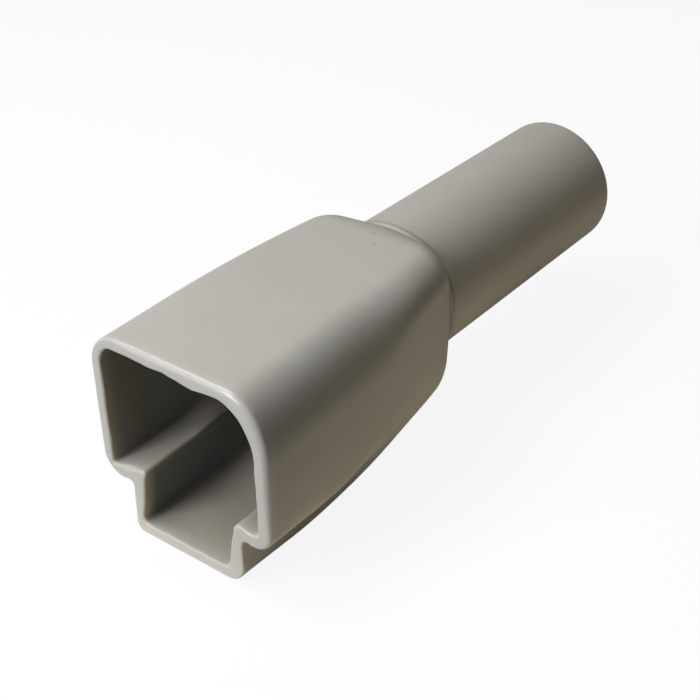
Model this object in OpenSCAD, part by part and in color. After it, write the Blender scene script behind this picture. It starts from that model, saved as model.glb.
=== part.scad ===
// Connector boot, one piece of soft dip-moulded plastic with an even wall.
// A stepped box mouth slips over the back of a rectangular cable connector, the key channel under
// the box takes the connector's latch side, and the round tail carries the wires out.
// X runs across the mouth, Y from the mouth to the tail's end and Z up. The boot lies on Z = 0.

/* [Mouth] */
// Inside width of the mouth between its side walls
mouth_w = 22; // [18:0.1:26]
// Inside height of the mouth from the ledges to the roof
mouth_h = 15.3; // [12:0.1:20]
// Inside width of the key channel below the ledges
key_w = 13.4; // [9:0.1:15]
// Inside depth of the key channel below the ledges
key_h = 7.5; // [5:0.1:9]
// How far each ledge falls from the key channel to the side wall
ledge_fall = 1; // [0:0.1:1.5]
// Rounding of the cut lip's outer edge
lip_r = 0.3; // [0.2:0.1:0.8]

/* [Wall] */
// Thickness of the moulded wall
wall = 1.55; // [1:0.05:2.2]

/* [Rounding inside] */
// Roof corners
roof_r = 3.2; // [2:0.1:5]
// Corners between the ledges and the side walls
ledge_r = 0.5; // [0.3:0.1:1]
// Edges of the ledges at the key channel
key_edge_r = 0.5; // [0.3:0.1:1]
// Corners of the key channel's floor
key_floor_r = 0.9; // [0.3:0.1:2]

/* [Rounding outside] */
// Roof corners
roof_round = 4.3; // [3:0.1:6]
// Lower corners of the box
ledge_round = 3.4; // [1:0.1:4]
// Hollow corner where the key channel leaves the box
step_fillet = 1.2; // [0.5:0.1:1.5]
// Lower corners of the key channel
key_round = 2.6; // [1:0.1:3]
// Soft bend of the sides behind the ledges
waist_round = 3.4; // [1:0.1:4]

/* [Body] */
// Length of the body from the lip to the neck
body_l = 37.2; // [34:0.1:46]
// Length over which the stepped section stays as it is at the mouth
grip_l = 9; // [6:0.5:14]
// Length over which the ledges fade into slanted sides
fade_l = 17; // [10:0.5:20]
// Depth below the tail's axis at which the slanted sides begin
waist_drop = 6.5; // [1:0.5:8]
// Depth of the floor below the bore where the body meets the neck
neck_drop = 2.1; // [0.5:0.1:3]
// Share of the belly's rise that is an arc, before it runs on straight
belly_arc = 0.55; // [0.3:0.05:0.9]
// How far the roof rises from the mouth to the neck
roof_rise = 1.1; // [0:0.1:2]
// How far each side wall draws in by the neck
side_draw = 2.4; // [0:0.1:3]
// Distance from the lip at which the sides begin to draw in
draw_y = 10; // [6:1:20]
// Length of the rounded shoulder that closes the body onto the neck
shoulder_l = 3.8; // [3:0.1:7]

/* [Tail] */
// Bore for the wires
bore_d = 15.1; // [11:0.1:16]
// Length of the tail behind the body
tail_l = 38.7; // [20:0.1:60]
// How much thinner the tail is outside at its end than at its root
tail_taper = 0.4; // [0:0.1:1.2]
// How far the roof stands above the tail where the body meets the neck
neck_step = 0.95; // [0.3:0.05:2]
// How far the shoulder's end dips below the tail's surface
neck_dip = 0.3; // [0.1:0.1:0.8]
// Width of the fine bead around the tail's root
bead_w = 1.1; // [0.6:0.1:2]
// Height of that bead
bead_h = 0.2; // [0.1:0.05:0.4]

/* [Hidden] */
// Steps in each rounded corner, in each straight side and along the body
corner_n = 5;
side_n = 4;
loft_n = 18;
shoulder_n = 7;
lip_n = 3;
bead_n = 8;
$fn = 96;
// How far a cutting shape runs past the face that it cuts
cut = 2;
// Most of a side's length that the roundings at its two ends may take up
side_use = 0.96;

bore_r = bore_d / 2;
tail_r = bore_r + wall;
tail_end_r = tail_r - tail_taper / 2;
total_l = body_l + tail_l;
roof_z = bore_r + neck_step - roof_rise;
ledge_z = roof_z - mouth_h;
floor_z = ledge_z - key_h;
neck_floor_z = -bore_r - neck_drop;
fade_end_y = grip_l + fade_l;
shoulder_y = body_l - shoulder_l;
// Depth of the boot's lowest point below the tail's axis
base_drop = wall - floor_z;

inside_rounds = [roof_r, ledge_r, key_edge_r, key_floor_r];
outside_rounds = [roof_round, ledge_round, step_fillet, key_round];

function lerp(a, b, t) = a + (b - a) * t;
// Share of the way from y0 to y1, held between 0 and 1
function share(y0, y1, y) = max(0, min(1, (y - y0) / (y1 - y0)));
function smooth(t) = t * t * (3 - 2 * t);
// A rise that starts as an arc over the share k and runs on straight
function arc_then_line(t, k) = t < k ? t * t / (k * (2 - k)) : (2 * t - k) / (2 - k);
function unit(v) = v / norm(v);
// A left-hand unit normal, which points out of an outline that runs clockwise
function normal(a, b) = let (u = unit(b - a)) [-u[1], u[0]];

// How far the ledges have faded at y
function fade(y) = smooth(share(grip_l, fade_end_y, y));
function half_w(y) = mouth_w / 2 - side_draw * pow(share(draw_y, body_l, y), 2);
function roof_at(y) = roof_z + roof_rise * share(0, body_l, y);
function belly_z(y) = lerp(floor_z, neck_floor_z, arc_then_line(share(grip_l, body_l, y), belly_arc));

// Right half of the inside section at y, as corners from the roof to the floor
function inside_corners(y) =
    let (
        s = fade(y),
        w = half_w(y),
        key = key_w / 2,
        low_z = belly_z(y),
        wall_z = lerp(ledge_z - ledge_fall, -waist_drop, s),
        edge_z = lerp(ledge_z, (wall_z + low_z) / 2, s),
        slope_x = lerp(w, key, (edge_z - wall_z) / (low_z - wall_z))
    )
    [[w, roof_at(y)], [w, wall_z], [lerp(key, slope_x, s), edge_z], [key, low_z]];

// Corners moved out so that every side lies d further from the inside
function grown(c, d) =
    let (p = concat([[0, c[0][1]]], c, [[0, c[3][1]]]))
    [for (i = [1 : 4]) let (
        n0 = normal(p[i - 1], p[i]),
        n1 = normal(p[i], p[i + 1])
    ) p[i] + (n0 + n1) * d / (1 + n0 * n1)];

// Roundings at y, where the lower box corner softens into the bend of the slanted side
function rounds_at(r, y) = [r[0], lerp(r[1], waist_round, fade(y)), r[2], r[3]];

// Point at share t of the arc that rounds corner p between its two touching points a and b
function arc_point(a, p, b, w, t) =
    (a * pow(1 - t, 2) + p * 2 * w * t * (1 - t) + b * t * t)
    / (pow(1 - t, 2) + 2 * w * t * (1 - t) + t * t);

// Part of a side of length l that a corner rounded by r0 may take, when the next corner has r1
function fitted(r0, r1, l) = r0 * min(1, side_use * l / (r0 + r1));

// Closed section from its right half: arcs at the corners, with points along the sides between
function section(half, r) =
    let (
        c = concat(half, [for (i = [3 : -1 : 0]) [-half[i][0], half[i][1]]]),
        rr = concat(r, [for (i = [3 : -1 : 0]) r[i]]),
        n = len(c),
        side = [for (i = [0 : n - 1]) norm(c[(i + 1) % n] - c[i])],
        reach = [for (i = [0 : n - 1]) let (h = (i + n - 1) % n, j = (i + 1) % n)
            min(fitted(rr[i], rr[j], side[i]), fitted(rr[i], rr[h], side[h]))],
        back = [for (i = [0 : n - 1]) unit(c[(i + n - 1) % n] - c[i])],
        ahead = [for (i = [0 : n - 1]) unit(c[(i + 1) % n] - c[i])],
        first = [for (i = [0 : n - 1]) c[i] + back[i] * reach[i]],
        last = [for (i = [0 : n - 1]) c[i] + ahead[i] * reach[i]]
    )
    [for (i = [0 : n - 1]) each concat(
        [for (k = [0 : corner_n])
            arc_point(first[i], c[i], last[i], sqrt((1 - back[i] * ahead[i]) / 2), k / corner_n)],
        [for (k = [1 : side_n - 1]) lerp(last[i], first[(i + 1) % n], k / side_n)]
    )];

// Section drawn in towards a circle of radius r, along a quarter ellipse over the share t
function drawn_in(ring, r, t) =
    let (s = 1 - sqrt(1 - t * t))
    [for (p = ring) p * lerp(1, r / norm(p), s)];

// Set-back of the lip's rounded outer edge at y
function lip_inset(y) = y < lip_r ? lip_r - sqrt(lip_r * lip_r - pow(lip_r - y, 2)) : 0;

function outer_ring(y) =
    let (c = grown(inside_corners(y), wall - lip_inset(y)))
    drawn_in(section(c, rounds_at(outside_rounds, y)), tail_r - neck_dip, share(shoulder_y, body_l, y));

function inner_ring(y) =
    drawn_in(
        section(inside_corners(y), rounds_at(inside_rounds, y)),
        bore_r - neck_dip,
        share(shoulder_y, body_l - wall, y)
    );

// Stations along a shoulder that ends at y_end, closer together where it turns in
function shoulder_ys(y_end) =
    [for (k = [1 : shoulder_n]) lerp(shoulder_y, y_end, sin(90 * k / shoulder_n))];
function loft_ys(y0) = [for (k = [0 : loft_n]) lerp(y0, shoulder_y, k / loft_n)];
lip_ys = [for (k = [0 : lip_n - 1]) lip_r * (1 - cos(90 * k / lip_n))];
outer_ys = concat(lip_ys, loft_ys(lip_r), shoulder_ys(body_l));
inner_ys = concat([-cut], loft_ys(0), shoulder_ys(body_l - wall));

// Solid skinned over rings that stand at the stations ys, closed at both ends by fans
module skin(rings, ys) {
    n = len(rings[0]);
    m = len(ys);
    sides = [for (k = [0 : m - 2], i = [0 : n - 1])
        let (j = (i + 1) % n, a = k * n + i, b = k * n + j)
        each [[a, a + n, b + n], [a, b + n, b]]];
    ends = [for (i = [0 : n - 1])
        let (j = (i + 1) % n, last = (m - 1) * n)
        each [[m * n, i, j], [m * n + 1, last + j, last + i]]];
    polyhedron(
        points = concat(
            [for (k = [0 : m - 1], p = rings[k]) [p[0], ys[k], p[1]]],
            [[0, ys[0], 0], [0, ys[m - 1], 0]]
        ),
        faces = concat(sides, ends),
        convexity = 6
    );
}

// Turns a shape of revolution from the Z axis onto the tail's axis, which runs along Y
module along_tail(y) {
    translate([0, y, 0]) rotate([-90, 0, 0]) children();
}

// Outside of the tail with the fine bead at its root, from inside the shoulder to the cut end
module tail_outside() {
    root = [[0, 0], [tail_r, 0], [tail_r, shoulder_l]];
    bead = [for (k = [1 : bead_n - 1])
        [tail_r + bead_h * sin(180 * k / bead_n), shoulder_l + bead_w * k / bead_n]];
    end_l = shoulder_l + tail_l;
    along_tail(shoulder_y) rotate_extrude()
        polygon(concat(root, bead, [[tail_r, shoulder_l + bead_w], [tail_end_r, end_l], [0, end_l]]));
}

module outside() {
    skin([for (y = outer_ys) outer_ring(y)], outer_ys);
    tail_outside();
}

module inside() {
    skin([for (y = inner_ys) inner_ring(y)], inner_ys);
    along_tail(shoulder_y) cylinder(d = bore_d, h = shoulder_l + tail_l + cut);
}

module boot() {
    color([0.66, 0.65, 0.62])
        translate([0, -total_l / 2, base_drop])
            difference() {
                outside();
                inside();
            }
}

boot();
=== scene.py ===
import math

import bmesh
import bpy
import numpy as np
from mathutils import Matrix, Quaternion, Vector


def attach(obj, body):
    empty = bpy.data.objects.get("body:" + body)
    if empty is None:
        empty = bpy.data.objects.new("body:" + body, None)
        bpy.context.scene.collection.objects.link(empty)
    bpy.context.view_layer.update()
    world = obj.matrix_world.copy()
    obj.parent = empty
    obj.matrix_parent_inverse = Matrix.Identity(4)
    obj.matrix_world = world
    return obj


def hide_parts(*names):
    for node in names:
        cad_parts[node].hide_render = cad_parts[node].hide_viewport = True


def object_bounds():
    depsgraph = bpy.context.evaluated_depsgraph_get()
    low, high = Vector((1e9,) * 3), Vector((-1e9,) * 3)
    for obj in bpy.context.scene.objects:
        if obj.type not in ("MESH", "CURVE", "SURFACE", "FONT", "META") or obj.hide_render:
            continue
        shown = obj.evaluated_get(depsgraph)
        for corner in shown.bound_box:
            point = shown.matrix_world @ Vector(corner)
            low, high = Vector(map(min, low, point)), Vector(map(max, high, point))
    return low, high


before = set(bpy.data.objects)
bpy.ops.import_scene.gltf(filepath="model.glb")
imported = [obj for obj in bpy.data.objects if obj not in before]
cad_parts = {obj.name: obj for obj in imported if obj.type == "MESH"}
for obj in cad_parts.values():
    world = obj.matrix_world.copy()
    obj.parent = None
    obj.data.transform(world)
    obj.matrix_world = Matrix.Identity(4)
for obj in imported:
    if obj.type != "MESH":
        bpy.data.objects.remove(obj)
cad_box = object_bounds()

# The boot is one closed skin of rings, which run from the lip over the outside to the tail's end and
# back through the inside. Sizes are in millimetres. y runs from the lip to the tail's end, and
# x = z = 0 is the tail's axis. Directions about that axis count from straight up towards +x.
MM = 0.001

# Sizes as in the part's source. The four roundings are those of the roof corner, the side wall's
# lower corner, the ledge's edge and the key channel's lower corner. The taper is that of the radius.
MOUTH_W, MOUTH_H = 22.0, 15.3
KEY_W, KEY_H = 13.4, 7.5
LEDGE_FALL = 1.0
WALL = 1.55
INSIDE_ROUNDS = (3.2, 0.5, 0.5, 0.9)
OUTSIDE_ROUNDS = (4.3, 3.4, 1.2, 2.6)
WAIST_ROUND = 3.4
SIDE_USE = 0.96
BODY_L, GRIP_L, FADE_L = 37.2, 9.0, 17.0
WAIST_DROP, NECK_DROP = 6.5, 2.1
BELLY_ARC = 0.55
ROOF_RISE, NECK_STEP = 1.1, 0.95
SIDE_DRAW, DRAW_Y = 2.4, 10.0
SHOULDER_L = 3.8
BORE_R = 7.55
TAIL_L, TAIL_TAPER = 38.7, 0.2

TAIL_R = BORE_R + WALL
TAIL_END_R = TAIL_R - TAIL_TAPER
TOTAL_L = BODY_L + TAIL_L
ROOF_Z = BORE_R + NECK_STEP - ROOF_RISE
LEDGE_Z = ROOF_Z - MOUTH_H
FLOOR_Z = LEDGE_Z - KEY_H
NECK_FLOOR_Z = -BORE_R - NECK_DROP
SHOULDER_Y = BODY_L - SHOULDER_L
BORE_START_Y = BODY_L - WALL
BASE_DROP = WALL - FLOOR_Z

# The soft mouth has left the mould's shape a little. For each corner, clockwise from the right roof
# corner: how far it has moved at the lip in x and z, and how much its rounding has changed.
SAG_L = 14.0
INNER_SHIFT = np.array([[-0.25, -0.05], [-0.25, 0.05], [0.62, -0.10], [-0.78, 0.08],
                        [-0.60, -0.12], [0.60, 0.15], [-0.25, 0.15], [-0.25, 0.00]])
INNER_ROUND = np.array([1.7, 0.7, 0.6, 0.2, 0.0, 0.2, 0.0, -0.8])
OUTER_SHIFT = np.array([[0.0, 0.0], [0.0, 0.0], [0.0, 0.0], [0.0, 0.28],
                        [-0.20, 0.0], [0.0, 0.0], [0.0, 0.0], [0.0, 0.0]])
# Three outside edges differ from the mould's into the body's rear half: the right roof edge and the
# left wall's lower edge are rounder, and the key channel's lower left edge is crisper
OUTER_ROUND = np.array([1.1, 0, 0, 0, -1.4, 0, 1.0, 0])
ROUND_L = (18.0, 30.0)
# How much further the right roof corner's roundings reach down the side, outside and inside
OUTER_STRETCH, INNER_STRETCH = 0.45, 0.25

# Waves in the roof's inner edge, as height, place in x and width. They die out below the roof and
# along y.
ROOF_WAVES = ((0.12, -1.6, 0.9), (-0.36, 2.3, 1.7))
ROOF_WAVE_Z, ROOF_WAVE_L = (ROOF_Z - 3, ROOF_Z - 1), 7
# Waves that the knife left round the inner edge and, in y, round the lip, as number, phase and share,
# with the mean and the reach of those in y
EDGE_WAVE, EDGE_WAVES = 0.03, ((13, 0.7, 1.0), (22, 1.9, 0.8), (31, 0.0, 0.6))
CUT_WAVE, CUT_WAVES = 0.03, ((2, 0.6, 0.8), (5, 2.0, 0.5))
CUT_MEAN, CUT_L = 1.3, 4

# Roundings of the lip's outer and inner edge, where it is crisp and where it is soft
LIP_R, SOFT_LIP_R = 0.20, 0.75
LIP_IN_R, SOFT_LIP_IN_R = 0.28, 0.60
# Directions between which the outer edge turns soft on the roof's right half, and crisp again down
# the right side. On the rest of the roof it is soft by a share.
SOFT_FROM, SOFT_TO = np.radians((5, 50)), np.radians((105, 140))
ROOF_SOFT, ROOF_SOFT_FROM = 0.8, np.radians((-54, -30))
# The inner edge is soft on the left ledge: place and width in x and in z
SOFT_LEDGE_X, SOFT_LEDGE_Z = (-8.6, 1.6), (LEDGE_Z - 0.6, 1.2)
# Roundings of the cut tail's outer and inner edge
END_R, END_IN_R = 0.45, 0.25

# The shoulder falls more gently on the roof than on the sides: by how much, and the directions
# between which it changes
ROOF_FLAT, ROOF_SPAN = 0.15, np.radians((35, 65))
# The bead at the tail's root is lower than in the source and lies between two fine grooves. Its crest
# leans towards the tail, where a skew of 1 is the middle. The far groove's slope crowds its rings.
BEAD_W, BEAD_H, BEAD_SKEW = 1.25, 0.06, 1.8
GROOVE, GROOVE_L, GROOVE_CROWD = 0.12, 0.8, 1.5
BEAD_END_Y = BODY_L + BEAD_W
# Between these directions a deeper groove takes the bead's place on both sides. Its width grows
# between two more.
BEAD_SPAN = np.radians((72, 96))
SIDE_GROOVE, SIDE_GROOVE_W = 0.42, (1.5, 2.2)
GROOVE_SPAN = np.radians((78, 112))
# The neck's line lies nearer to the tail's end at the roof's corners than between them. Its waves set
# in and die out along y, and die out on the lower half.
NECK_WAVE, NECK_WAVES = 0.2, 4
NECK_WAVE_IN, NECK_WAVE_OUT = (BODY_L - 5, BODY_L - 0.5), (BEAD_END_Y + 0.5, BEAD_END_Y + 6)
NECK_WAVE_SPAN = np.radians((95, 130))

# Points in each rounded corner and in each straight side of a section
CORNER_N, SIDE_N = 14, 14
# Spacing of the rings along the body, inside near the lip as far as LIP_ZONE, and along the tail
BODY_STEP, LIP_STEP, LIP_ZONE, TAIL_STEP = 0.5, 0.25, 2.0, 1.1
# Distance of the first ring behind the lip's rounded edges, outside and inside
LIP_GAP, LIP_IN_GAP = 0.2, 0.1
# Rings in the lip's edges, in the shoulder outside and inside, in the bead and its far groove, and in
# the edges of the tail's end
LIP_N, LIP_IN_N = 10, 8
SHOULDER_N, SHOULDER_IN_N = 22, 16
BEAD_N, GROOVE_N = 18, 8
END_N, END_IN_N = 6, 5
# Places of the rings across the cut faces of the lip and of the tail's end
LIP_FACE, END_FACE = (0.25, 0.5, 0.75), (0.33, 0.67)
# Where the rings' points even out along the tail, outside and inside
EVEN_OUT, EVEN_IN = (BODY_L + 4, BODY_L + 24), (BODY_L, TOTAL_L - 8)

# Marks that the rings carry for the material, and how far they reach. The lip's face has the full rim
# mark, which falls to these on its outer and inner edges. The cut tail has its own on edges and face.
RIM_OUT, RIM_OUT_L = 0.6, 0.5
RIM_IN, RIM_IN_L = 0.4, 0.3
END_RIM, END_FACE_RIM = 0.5, 0.7
# Painted shade as dark lines along both edges of the bead: their reach, the far one's reach on the
# bead itself, and their strength there. The side groove's painted shade darkens with its depth by a power.
CREASE_L, BEAD_CREASE_L, BEAD_CREASE = 0.3, 0.25, 0.6
GROOVE_DARK = 0.6
# Depth at which the inside has its deepest painted shade, and to which painted light shows through the lip's
# edge
DEEP_Y = 20.0
EDGE_L = 1.0
# Shade on the upright left walls inside: x between which it sets in, z between which the key channel's
# wall begins, depths over which it grows on the upper wall and in the channel, and where it ends in y
SHADE_X, SHADE_KEY_Z = (2, -5), (LEDGE_Z, LEDGE_Z - 1.5)
SHADE, SHADE_L, SHADE_KEY_L = 0.65, 5.5, 2
SHADE_END = (24, 33)


def lerp(a, b, t):
    return a + (b - a) * t


def share(y0, y1, y):
    """Share of the way from y0 to y1, held between 0 and 1."""
    return np.clip((y - y0) / (y1 - y0), 0.0, 1.0)


def smooth(t):
    return t * t * (3 - 2 * t)


def bump(x, centre, width):
    return np.exp(-((x - centre) / width) ** 2)


def spaced(a, b, step):
    return np.linspace(a, b, max(2, round(abs(b - a) / step) + 1))


def waves(turn, kinds):
    return sum(size * np.sin(n * turn + phase) for n, phase, size in kinds)


def fade(y):
    """How far the ledges have faded into slanted sides at y."""
    return smooth(share(GRIP_L, GRIP_L + FADE_L, y))


def sag(y):
    """How much of the mouth's unevenness is left at y."""
    return 1 - smooth(share(0, SAG_L, y))


def belly_z(y):
    t = share(GRIP_L, BODY_L, y)
    k = BELLY_ARC
    rise = t * t / (k * (2 - k)) if t < k else (2 * t - k) / (2 - k)
    return lerp(FLOOR_Z, NECK_FLOOR_Z, rise)


def inside_corners(y):
    """Corners of the inside section at y, clockwise from the right roof corner."""
    s = fade(y)
    w = MOUTH_W / 2 - SIDE_DRAW * share(DRAW_Y, BODY_L, y) ** 2
    key = KEY_W / 2
    low_z = belly_z(y)
    wall_z = lerp(LEDGE_Z - LEDGE_FALL, -WAIST_DROP, s)
    edge_z = lerp(LEDGE_Z, (wall_z + low_z) / 2, s)
    slope_x = lerp(w, key, (edge_z - wall_z) / (low_z - wall_z))
    roof = ROOF_Z + ROOF_RISE * share(0, BODY_L, y)
    half = np.array([[w, roof], [w, wall_z], [lerp(key, slope_x, s), edge_z], [key, low_z]])
    return np.vstack([half, half[::-1] * [-1, 1]])


def left_normals(a, b):
    u = (b - a) / np.linalg.norm(b - a, axis=1)[:, None]
    return np.c_[-u[:, 1], u[:, 0]]


def ring_normals(ring):
    return left_normals(np.roll(ring, 1, 0), np.roll(ring, -1, 0))


def grown(c, d):
    """Corners moved so that every side of the closed section lies d further out."""
    n0 = left_normals(np.roll(c, 1, 0), c)
    n1 = left_normals(c, np.roll(c, -1, 0))
    return c + (n0 + n1) * d / (1 + (n0 * n1).sum(1))[:, None]


def rounds_at(r, y):
    """Roundings of the eight corners at y."""
    waist = lerp(r[1], WAIST_ROUND, fade(y))
    half = np.array([r[0], waist, r[2], r[3]])
    return np.concatenate([half, half[::-1]])


def fitted(r0, r1, side):
    """Part of a side that a corner rounded by r0 may take, when the next corner has r1."""
    return r0 * np.minimum(1.0, SIDE_USE * side / (r0 + r1))


def section(c, rounds, stretch):
    """Closed outline with arcs at its corners and points along the sides between them.

    The arc of the right roof corner reaches further down the side wall by the factor stretch.
    """
    ahead = np.roll(c, -1, 0) - c
    side = np.linalg.norm(ahead, axis=1)
    ahead = ahead / side[:, None]
    back = -np.roll(ahead, 1, 0)
    reach = np.minimum(fitted(rounds, np.roll(rounds, -1), side),
                       fitted(rounds, np.roll(rounds, 1), np.roll(side, 1)))[:, None]
    first, last = c + back * reach, c + ahead * reach
    last[0] = c[0] + ahead[0] * reach[0] * stretch
    weight = np.sqrt((1 - (back * ahead).sum(1)) / 2)
    t = np.linspace(0, 1, CORNER_N + 1)[:, None]
    k = np.linspace(0, 1, SIDE_N + 1)[1:-1, None]
    out = []
    for i in range(len(c)):
        w = 2 * weight[i] * t * (1 - t)
        arc = first[i] * (1 - t) ** 2 + c[i] * w + last[i] * t ** 2
        out.append(arc / ((1 - t) ** 2 + w + t ** 2))
        out.append(lerp(last[i], first[(i + 1) % len(c)], k))
    return np.vstack(out)


def drawn_in(ring, r, t, flat=0.0):
    """Ring drawn in towards a circle of radius r over the share t.

    It follows a quarter ellipse, or a flatter curve at the points where flat is 1.
    """
    s = lerp(1 - math.sqrt(max(0.0, 1 - t * t)), t * t, flat)
    return ring * lerp(1.0, r / np.linalg.norm(ring, axis=1), s)[:, None]


def turns(ring):
    """Share of the way round the ring at each point, as an angle."""
    step = np.linalg.norm(np.roll(ring, -1, 0) - ring, axis=1)
    return 2 * math.pi * np.r_[0, np.cumsum(step)[:-1]] / step.sum()


def bearings(ring):
    """Directions of a ring's points about the tail's axis."""
    return np.arctan2(ring[:, 0], ring[:, 1])


def outer_ring(y, inset=0.0):
    c = grown(inside_corners(y), WALL - inset) + OUTER_SHIFT * sag(y)
    soft = 1 - smooth(share(*ROUND_L, y))
    ring = section(c, rounds_at(OUTSIDE_ROUNDS, y) + OUTER_ROUND * soft, 1 + OUTER_STRETCH * soft)
    roof = 1 - smooth(share(*ROOF_SPAN, np.abs(bearings(ring))))
    return drawn_in(ring, TAIL_R - GROOVE, share(SHOULDER_Y, BODY_L, y), ROOF_FLAT * roof)


def inner_ring(y, inset=0.0):
    c = grown(inside_corners(y) + INNER_SHIFT * sag(y), inset)
    ring = section(c, rounds_at(INSIDE_ROUNDS, y) + INNER_ROUND * sag(y), 1 + INNER_STRETCH * sag(y))
    x, z = ring.T
    wave = sum(height * bump(x, centre, width) for height, centre, width in ROOF_WAVES)
    ring[:, 1] = z + wave * share(*ROOF_WAVE_Z, z) * (1 - smooth(share(0, ROOF_WAVE_L, y)))
    fine = waves(turns(ring), EDGE_WAVES)
    ring = ring + ring_normals(ring) * (EDGE_WAVE * fine * math.exp(-y))[:, None]
    return drawn_in(ring, BORE_R, share(SHOULDER_Y, BORE_START_Y, y))


def lip_rounds(ring):
    """Rounding of the lip's outer edge at each point of a ring."""
    a = bearings(ring)
    roof = ROOF_SOFT * smooth(share(*ROOF_SOFT_FROM, a))
    soft = np.maximum(roof, smooth(share(*SOFT_FROM, a))) * (1 - smooth(share(*SOFT_TO, a)))
    return lerp(LIP_R, SOFT_LIP_R, soft)


def lip_ring(a):
    """Ring of the lip's outer edge, and its y, at the angle a: 0 on the side, 90 degrees on the face."""
    full, least = outer_ring(0), outer_ring(0, SOFT_LIP_R)
    r = lip_rounds(full)
    inset = r * (1 - math.cos(a))
    return lerp(full, least, (inset / SOFT_LIP_R)[:, None]), r * (1 - math.sin(a))


def lip_in_rounds(ring):
    """Rounding of the lip's inner edge at each point of a ring."""
    x, z = ring.T
    return lerp(LIP_IN_R, SOFT_LIP_IN_R, bump(x, *SOFT_LEDGE_X) * bump(z, *SOFT_LEDGE_Z))


def lip_in_ring(a):
    """Ring of the lip's inner edge, and its y, at the angle a: 0 inside, 90 degrees on the face."""
    least, full = inner_ring(0), inner_ring(0, SOFT_LIP_IN_R)
    r = lip_in_rounds(least)
    inset = r * (1 - math.cos(a))
    return lerp(least, full, (inset / SOFT_LIP_IN_R)[:, None]), r * (1 - math.sin(a))


def upright(ring):
    """How far each point of a ring faces sideways."""
    return np.abs(ring_normals(ring)[:, 0])


def circle(r, a):
    return np.c_[r * np.sin(a), r * np.cos(a)]


def neck_wave(ring, y):
    """How far the points of a ring near the neck are moved along y."""
    near = smooth(share(*NECK_WAVE_IN, y)) * (1 - smooth(share(*NECK_WAVE_OUT, y)))
    a = bearings(ring)
    upper = 1 - smooth(share(*NECK_WAVE_SPAN, np.abs(a)))
    return -NECK_WAVE * np.cos(NECK_WAVES * a) * upper * near


class Skin:
    """Rings of the closed skin in order, with marks for the material at every point."""

    MARKS = ("rim", "crease", "inside", "edge", "wall")

    def __init__(self):
        self.rings, self.marks = [], []

    def add(self, ring, y, **marks):
        n = len(ring)
        cut = CUT_WAVE * (CUT_MEAN + waves(turns(ring), CUT_WAVES))
        ys = y + cut * (1 - smooth(share(0, CUT_L, y))) + neck_wave(ring, y)
        self.rings.append(np.c_[ring[:, 0], ys, ring[:, 1]])
        self.marks.append(np.stack([np.broadcast_to(marks.get(k, 0.0), n) for k in self.MARKS], 1))


def add_outside(skin):
    for a in np.linspace(math.pi / 2, 0, LIP_N):
        skin.add(*lip_ring(a), rim=lerp(RIM_OUT, 1.0, math.sin(a)))
    r = lip_rounds(outer_ring(0))
    for y in spaced(SOFT_LIP_R + LIP_GAP, SHOULDER_Y, BODY_STEP):
        skin.add(outer_ring(y), y, rim=RIM_OUT * bump(y, r, RIM_OUT_L))
    for k in range(1, SHOULDER_N + 1):
        y = lerp(SHOULDER_Y, BODY_L, math.sin(math.pi / 2 * k / SHOULDER_N))
        # Painted shade in the crease where the shoulder meets the bead
        skin.add(outer_ring(y), y, crease=bump(y, BODY_L, CREASE_L))


def tail_r(y):
    return TAIL_R - TAIL_TAPER * share(BEAD_END_Y, TOTAL_L, y)


def add_tail(skin, root, even):
    a = np.abs((root + math.pi) % (2 * math.pi) - math.pi)
    side = smooth(share(*BEAD_SPAN, a))
    groove_w = lerp(*SIDE_GROOVE_W, smooth(share(*GROOVE_SPAN, a)))

    def add_neck(y, r, raised, dark):
        """Ring raised or marked with painted shade by these over the top, and by the side groove on both
        sides.
        """
        deep = 1 - smooth(share(0, groove_w, y - BODY_L))
        ring = circle(r + lerp(raised, -SIDE_GROOVE * deep, side), root)
        skin.add(ring, y, crease=lerp(BEAD_CREASE * dark, deep ** GROOVE_DARK, side))

    for t in np.linspace(0, 1, BEAD_N + 1)[1:]:
        y = lerp(BODY_L, BEAD_END_Y, t)
        bead = (BEAD_H + GROOVE) * math.sin(math.pi * t ** BEAD_SKEW) - GROOVE
        add_neck(y, TAIL_R, bead, max(bump(y, BODY_L, CREASE_L), bump(y, BEAD_END_Y, BEAD_CREASE_L)))
    for t in np.linspace(0, 1, GROOVE_N + 1)[1:]:
        y = BEAD_END_Y + GROOVE_L * t ** GROOVE_CROWD
        add_neck(y, tail_r(y), -GROOVE * (1 - t) ** 2, bump(y, BEAD_END_Y, CREASE_L))
    side_end = TOTAL_L - END_R
    for y in spaced(BEAD_END_Y + GROOVE_L, side_end, TAIL_STEP)[1:]:
        a = lerp(root, even, smooth(share(*EVEN_OUT, y)))
        skin.add(circle(tail_r(y), a), y)
    for a in np.linspace(0, math.pi / 2, END_N + 1)[1:]:
        y = side_end + END_R * math.sin(a)
        skin.add(circle(TAIL_END_R - END_R * (1 - math.cos(a)), even), y, rim=END_RIM)
    for t in END_FACE:
        skin.add(circle(lerp(TAIL_END_R - END_R, BORE_R + END_IN_R, t), even), TOTAL_L, rim=END_FACE_RIM)
    for a in np.linspace(0, math.pi / 2, END_IN_N):
        y = TOTAL_L - END_IN_R * (1 - math.cos(a))
        skin.add(circle(BORE_R + END_IN_R * (1 - math.sin(a)), even), y, rim=END_RIM)


def wall_shade(ring, y):
    """Mark of the upright left walls inside the body, which darken with their depth."""
    x, z = ring.T
    key = smooth(share(*SHADE_KEY_Z, z))
    deep = lerp(SHADE * share(0, SHADE_L, y), share(0, SHADE_KEY_L, y), key)
    return upright(ring) * smooth(share(*SHADE_X, x)) * deep * (1 - share(*SHADE_END, y))


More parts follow.
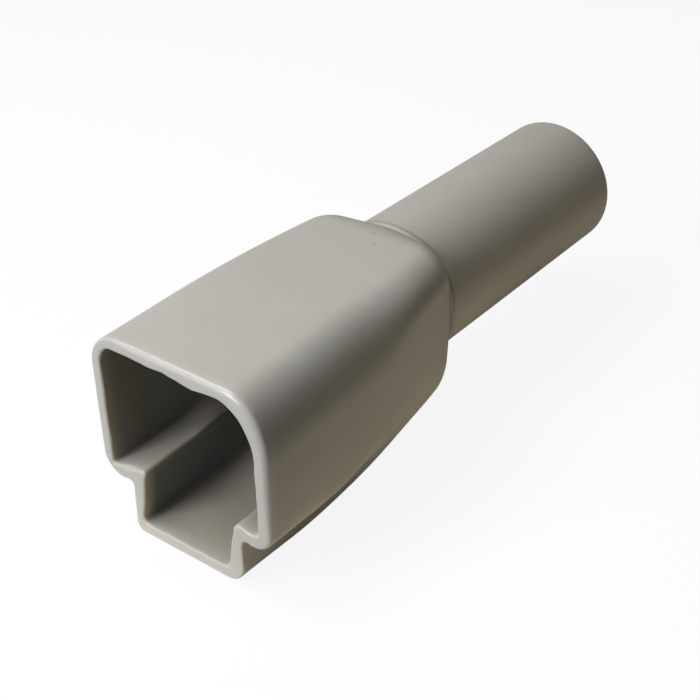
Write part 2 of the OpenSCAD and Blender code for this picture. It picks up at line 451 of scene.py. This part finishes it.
def add_inside(skin, even):
    root = np.unwrap(bearings(inner_ring(BORE_START_Y)))
    for y in spaced(TOTAL_L - END_IN_R, BORE_START_Y, TAIL_STEP)[1:]:
        a = lerp(root, even, smooth(share(*EVEN_IN, y)))
        skin.add(circle(BORE_R, a), y, inside=share(TOTAL_L, TOTAL_L - DEEP_Y, y))
    for k in range(SHOULDER_IN_N - 1, 0, -1):
        y = lerp(SHOULDER_Y, BORE_START_Y, math.sin(math.pi / 2 * k / SHOULDER_IN_N))
        ring = inner_ring(y)
        skin.add(ring, y, inside=share(0, DEEP_Y, y), wall=wall_shade(ring, y))
    r = lip_in_rounds(inner_ring(0))
    near_lip = spaced(LIP_ZONE, SOFT_LIP_IN_R + LIP_IN_GAP, LIP_STEP)[1:]
    for y in np.r_[spaced(SHOULDER_Y, LIP_ZONE, BODY_STEP), near_lip]:
        ring = inner_ring(y)
        skin.add(ring, y, rim=RIM_IN * bump(y, r, RIM_IN_L), inside=share(0, DEEP_Y, y),
                 wall=wall_shade(ring, y), edge=bump(y, 0, EDGE_L) * upright(ring))
    for a in np.linspace(0, math.pi / 2, LIP_IN_N):
        ring, y = lip_in_ring(a)
        skin.add(ring, y, rim=lerp(RIM_IN, 1.0, 2 * a / math.pi), edge=math.cos(a) ** 2 * upright(ring))
    inner, outer = lip_in_ring(math.pi / 2)[0], lip_ring(math.pi / 2)[0]
    for t in LIP_FACE:
        skin.add(lerp(inner, outer, t), 0.0, rim=1.0)


def make_boot():
    skin = Skin()
    add_outside(skin)
    root = np.unwrap(bearings(outer_ring(BODY_L)))
    turn = np.sign(root[-1] - root[0]) * 2 * math.pi
    even = turn * np.arange(len(root)) / len(root)
    even += (root - even).mean()
    add_tail(skin, root, even)
    add_inside(skin, even)

    grid = np.array(skin.rings)
    m, n = grid.shape[:2]
    points = grid.reshape(-1, 3)
    i, j = np.meshgrid(np.arange(m), np.arange(n), indexing="ij")
    i1, j1 = (i + 1) % m, (j + 1) % n
    quads = np.stack([i * n + j, i1 * n + j, i1 * n + j1, i * n + j1], -1).reshape(-1, 4)

    mesh = bpy.data.meshes.new("boot_skin")
    placed = (points + [0, -TOTAL_L / 2, BASE_DROP]) * MM
    placed = np.clip(placed, np.array(cad_box[0]), np.array(cad_box[1]))
    mesh.from_pydata(placed.tolist(), [], quads.tolist())
    bm = bmesh.new()
    bm.from_mesh(mesh)
    bmesh.ops.recalc_face_normals(bm, faces=bm.faces)
    bm.to_mesh(mesh)
    bm.free()
    mesh.shade_smooth()
    marks = np.concatenate(skin.marks).astype(np.float32)
    for k, name in enumerate(Skin.MARKS):
        mesh.attributes.new(name, "FLOAT", "POINT").data.foreach_set("value", marks[:, k].copy())
    boot = bpy.data.objects.new("boot_soft_skin", mesh)
    bpy.context.scene.collection.objects.link(boot)
    return boot


class Tree:
    """Node tree of a material or a world, emptied, with short ways to add nodes."""

    def __init__(self, owner):
        owner.use_nodes = True
        self.tree = owner.node_tree
        self.tree.nodes.clear()

    def add(self, kind, inputs=None, **settings):
        """Outputs of a new node, whose inputs are set to values or linked to other outputs."""
        node = self.tree.nodes.new("ShaderNode" + kind)
        for k, v in settings.items():
            setattr(node, k, v)
        for k, v in (inputs or {}).items():
            if isinstance(v, bpy.types.NodeSocket):
                self.tree.links.new(v, node.inputs[k])
            else:
                node.inputs[k].default_value = v
        return node.outputs

    def calc(self, operation, *values):
        return self.add("Math", dict(enumerate(values)), operation=operation)[0]

    def ranged(self, value, a0, a1, b0=0.0, b1=1.0):
        inputs = {"Value": value, "From Min": a0, "From Max": a1, "To Min": b0, "To Max": b1}
        return self.add("MapRange", inputs)["Result"]

    def mixed(self, factor, a, b, how="MIX"):
        return self.add("Mix", {"Factor": factor, 6: a, 7: b}, data_type="RGBA", blend_type=how)[2]

    def rays(self):
        """Whether the camera sees a point, and whether it is seen by reflection or through glass."""
        path = self.add("LightPath")
        return path["Is Camera Ray"], self.calc("MAXIMUM", path["Is Glossy Ray"], path["Is Transmission Ray"])


# Colours of the vinyl: two that drift into each other, a fine grain, the painted shade inside and on the
# shaded left walls, the painted shade in creases, cut rims, painted light on lit-through edges, and dirt,
# each with its strength
CLOUD_LIGHT, CLOUD_DARK = (0.435, 0.424, 0.386, 1), (0.415, 0.402, 0.362, 1)
GRAIN, GRAIN_SHARE = (0.39, 0.375, 0.335, 1), 0.25
INSIDE_SHADE, INSIDE_FULL = (0.85, 0.79, 0.72, 1), 0.1
WALL_TINT = (0.40, 0.50, 0.60, 1)
CREASE_SHADE, CREASE_SHARE = (0.13, 0.12, 0.10, 1), 0.85
RIM, RIM_SHARE = (0.520, 0.495, 0.438, 1), 0.6
EDGE_GLOW, EDGE_SHARE = (0.72, 0.58, 0.38, 1), 0.5
DIRT, DIRT_SHARE = (0.15, 0.14, 0.12, 1), 0.28
# Two small specks of dirt on the roof near the neck, in the row's frame in metres, and the distances
# between which they fade
SPECKS = ((0.00038, -0.00412, 0.02688), (0.0019, -0.0059, 0.02683))
SPECK_R = (0.0001, 0.0004)
# Scale and detail of the noises, and the part of their range that is used
CLOUD_NOISE, GRAIN_NOISE, ROUGH_NOISE = (70, 3.0), (1500, 2.0), (220, 3.0)
FINE_NOISE, SOFT_NOISE = (2600, 2.0), (160, 1.0)
NOISE_RANGE = (0.3, 0.7)
# Roughness, and how much smoother a cut rim is. Strength and distance of the fine and the soft bumps.
ROUGH, RIM_GLOSS = (0.48, 0.56), 0.29
FINE_BUMP, SOFT_BUMP = (0.12, 0.00004), (0.35, 0.0002)


def make_vinyl():
    mat = bpy.data.materials.new("soft_vinyl")
    t = Tree(mat)
    where = t.add("TexCoord")["Object"]

    def noise(scale, detail):
        return t.add("TexNoise", {"Vector": where, "Scale": scale, "Detail": detail, "Roughness": 0.5})["Fac"]

    def bumps(strength, distance, height, **below):
        inputs = {"Strength": strength, "Distance": distance, "Height": height, **below}
        return t.add("Bump", inputs)["Normal"]

    def mark(name):
        return t.add("Attribute", attribute_name=name)["Fac"]

    def scaled(value, by):
        return t.calc("MULTIPLY", value, by)

    base = t.mixed(t.ranged(noise(*CLOUD_NOISE), *NOISE_RANGE), CLOUD_LIGHT, CLOUD_DARK)
    grain = t.ranged(noise(*GRAIN_NOISE), *NOISE_RANGE)
    base = t.mixed(scaled(grain, GRAIN_SHARE), base, GRAIN)
    # Painted shade: the inside is darker and warmer than the outside, from close behind the lip and the
    # tail's end inward
    base = t.mixed(t.ranged(mark("inside"), 0.0, INSIDE_FULL), base, INSIDE_SHADE, "MULTIPLY")
    base = t.mixed(mark("wall"), base, WALL_TINT, "MULTIPLY")
    # Painted shade in the creases and grooves at the neck
    base = t.mixed(scaled(mark("crease"), CREASE_SHARE), base, CREASE_SHADE)
    rim = mark("rim")
    base = t.mixed(scaled(rim, RIM_SHARE), base, RIM)
    # Painted light: a warm glow on the lip's inner edge, as if light shone through the wall
    base = t.mixed(scaled(mark("edge"), EDGE_SHARE), base, EDGE_GLOW)
    for speck in SPECKS:
        away = t.add("VectorMath", {0: where, 1: speck}, operation="DISTANCE")["Value"]
        base = t.mixed(t.ranged(away, *SPECK_R, DIRT_SHARE, 0.0), base, DIRT)

    rough = t.ranged(noise(*ROUGH_NOISE), *NOISE_RANGE, *ROUGH)
    rough = t.calc("SUBTRACT", rough, scaled(rim, RIM_GLOSS))
    fine = bumps(*FINE_BUMP, noise(*FINE_NOISE))
    soft = bumps(*SOFT_BUMP, noise(*SOFT_NOISE), Normal=fine)
    surface = t.add("BsdfPrincipled", {
        "Base Color": base, "Roughness": rough, "Normal": soft, "IOR": 1.5,
        "Subsurface Weight": 0.15, "Subsurface Radius": (1.0, 0.8, 0.55), "Subsurface Scale": 0.001})
    t.add("OutputMaterial", {"Surface": surface["BSDF"]})
    return mat


boot = make_boot()
boot.data.materials.append(make_vinyl())
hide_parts("boot")
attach(boot, "root")

# Stage, in metres. The floor is white where the camera sees it, with a little of the boot's shadow.
# What it throws back onto the boot is warm and comes mostly from close by.
FLOOR_HALF = 2.0
FLOOR_GLOW, FLOOR_MIRROR_GLOW, WORLD_MIRROR_GLOW = 0.90, 0.08, 0.02
PALE, WHITE = (0.84, 0.84, 0.84, 1), (1.0, 1.0, 1.0, 1)
BOUNCE, DIM_BOUNCE = (1.0, 0.82, 0.53, 1), (0.07, 0.06, 0.05, 1)
WORLD_LIGHT, WORLD_STRENGTH = (1.0, 0.95, 0.88, 1), 0.03
# The bounce is dim far to the right, less so beside the tail, and also ahead of the mouth and under
# the boot
FAR_X, FAR_Y, FAR_LEAST = (0.020, 0.042), (0.012, -0.028), 0.22
AHEAD_Y = (-0.034, -0.050)
UNDER_X = (0.018, 0.014)
BEHIND_Y = (-0.038, -0.034)
# Close to the body's right side the floor gives the boot light of its own: where in x and y it does,
# and its strength by y, which is greatest at the front
NEAR = (1.0, 0.88, 0.65, 1)
NEAR_FROM_X, NEAR_TO_X, NEAR_END_Y = (0.014, 0.016), (0.032, 0.018), (0.008, 0.002)
NEAR_FRONT_Y, NEAR_FRONT = (-0.022, -0.034), (0.22, 1.6)
NEAR_REAR_Y, NEAR_REAR = (-0.016, -0.006), (0.0, 1.15)


def make_floor():
    mesh = bpy.data.meshes.new("floor")
    h = FLOOR_HALF
    mesh.from_pydata([(-h, -h, 0), (h, -h, 0), (h, h, 0), (-h, h, 0)], [], [(0, 1, 2, 3)])
    floor = bpy.data.objects.new("floor", mesh)
    bpy.context.scene.collection.objects.link(floor)
    mat = bpy.data.materials.new("floor_pale")
    t = Tree(mat)
    place = t.add("SeparateXYZ", {0: t.add("TexCoord")["Object"]})
    x, y = place["X"], place["Y"]

    behind = t.ranged(y, *BEHIND_Y)
    far = t.calc("MULTIPLY", t.ranged(x, *FAR_X), t.ranged(y, *FAR_Y, FAR_LEAST))
    under = t.calc("MULTIPLY", t.ranged(t.calc("ABSOLUTE", x), *UNDER_X), behind)
    dim = t.calc("MAXIMUM", t.calc("MAXIMUM", far, t.ranged(y, *AHEAD_Y)), under)
    thrown = t.add("BsdfDiffuse", {"Color": t.mixed(dim, BOUNCE, DIM_BOUNCE)})[0]

    near = t.calc("ADD", t.ranged(y, *NEAR_FRONT_Y, *NEAR_FRONT), t.ranged(y, *NEAR_REAR_Y, *NEAR_REAR))
    for limit in (t.ranged(x, *NEAR_FROM_X), t.ranged(x, *NEAR_TO_X), behind, t.ranged(y, *NEAR_END_Y)):
        near = t.calc("MULTIPLY", near, limit)
    own = t.add("Emission", {"Color": NEAR, "Strength": near})[0]
    warm = t.add("AddShader", {0: thrown, 1: own})[0]

    camera_ray, mirrored = t.rays()
    glow = t.calc("MULTIPLY_ADD", camera_ray, FLOOR_GLOW, t.calc("MULTIPLY", mirrored, FLOOR_MIRROR_GLOW))
    pale = t.add("BsdfDiffuse", {"Color": PALE})[0]
    white = t.add("Emission", {"Color": WHITE, "Strength": 1.0})[0]
    paper = t.add("MixShader", {0: glow, 1: pale, 2: white})[0]
    mix = t.add("MixShader", {0: t.calc("MAXIMUM", camera_ray, mirrored), 1: warm, 2: paper})[0]
    t.add("OutputMaterial", {"Surface": mix})
    mesh.materials.append(mat)


def make_world():
    world = bpy.data.worlds.new("studio")
    bpy.context.scene.world = world
    t = Tree(world)
    camera_ray, mirrored = t.rays()
    glow = t.calc("MAXIMUM", camera_ray, t.calc("MULTIPLY", mirrored, WORLD_MIRROR_GLOW))
    light = t.add("Background", {"Color": WORLD_LIGHT, "Strength": WORLD_STRENGTH})[0]
    white = t.add("Background", {"Color": WHITE, "Strength": 1.0})[0]
    t.add("OutputWorld", {"Surface": t.add("MixShader", {0: glow, 1: light, 2: white})[0]})


def make_lamp(name, place, aim, size, power, color):
    data = bpy.data.lights.new(name, "AREA")
    data.shape = "DISK"
    data.size = size
    data.energy = power
    data.color = color
    lamp = bpy.data.objects.new(name, data)
    lamp.location = place
    lamp.rotation_euler = (Vector(aim) - Vector(place)).to_track_quat("-Z", "Y").to_euler()
    lamp.visible_camera = False
    bpy.context.scene.collection.objects.link(lamp)


make_floor()
make_world()
make_lamp("front", place=(-0.070, -0.284, 0.163), aim=(0, -0.035, 0.012), size=0.19, power=0.89,
          color=(0.945, 1.0, 1.08))
make_lamp("above", place=(-0.096, -0.062, 0.278), aim=(0, -0.02, 0.026), size=0.18, power=0.61,
          color=(1.015, 1.0, 0.97))

# Camera at the photograph's viewing angle
CAMERA_AT = Vector((88.29, -79.50 - TOTAL_L / 2, 86.90 + BASE_DROP)) * MM
CAMERA_LOOK = Vector((-0.52805, 0.65100, -0.54531))
CAMERA_ROLL = math.radians(-1.22)
data = bpy.data.cameras.new("camera")
data.sensor_width = 36.0
data.lens = 70.72
data.clip_start = 0.01
camera = bpy.data.objects.new("camera", data)
camera.rotation_mode = "QUATERNION"
camera.rotation_quaternion = CAMERA_LOOK.to_track_quat("-Z", "Y") @ Quaternion((0, 0, 1), CAMERA_ROLL)
camera.location = CAMERA_AT
bpy.context.scene.collection.objects.link(camera)
bpy.context.scene.camera = camera
bpy.context.scene.view_settings.view_transform = "Standard"

bpy.context.view_layer.update()
